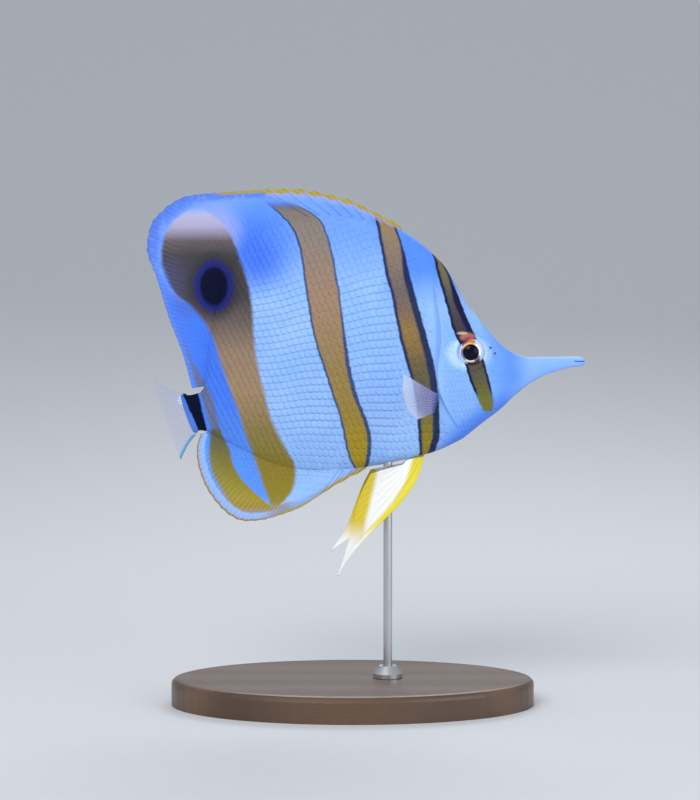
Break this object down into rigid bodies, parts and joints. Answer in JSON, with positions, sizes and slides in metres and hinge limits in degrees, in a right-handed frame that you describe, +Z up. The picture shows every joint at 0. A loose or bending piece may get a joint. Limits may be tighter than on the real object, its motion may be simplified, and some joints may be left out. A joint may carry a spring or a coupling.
{
  "type": "copperband butterflyfish",
  "caption": "Life-size still model of a banded, long-snouted butterflyfish with raised fins and a bent tail, held by a rod on a flat oval base.",
  "frame": {"origin": "centre of the underside of the stand's base", "axes": "+X to the snout's end, -Y to the right flank that faces the camera, +Z up; -Z leaves the base's underside"},
  "size_m": [0.1493, 0.078, 0.1757],
  "materials": {
    "skin": "scaled skin, satin",
    "fin": "rayed fin skin, satin",
    "clear_fin": "thin clear fin skin with pale rays",
    "eye": "wet, polished",
    "stand_wood": "dark stained wood, satin",
    "stand_steel": "brushed"
  },
  "bodies": {
    "root": {"head": "skin", "snout": "skin", "upper_jaw": "skin", "lower_jaw": "skin", "torso": "skin", "tail_peduncle": "skin", "caudal_fin": "clear_fin", "dorsal_fin_spiny": "fin", "dorsal_fin_soft": "fin", "anal_fin_spiny": "fin", "anal_fin_soft": "fin", "pelvic_fin_right": "fin", "pelvic_fin_left": "fin", "pectoral_fin_right": "clear_fin", "pectoral_fin_left": "clear_fin", "eye_right": "eye", "eye_left": "eye", "stand_base": "stand_wood", "stand_rod": "stand_steel", "stand_collar": "stand_steel"}
  },
  "joints": []
}
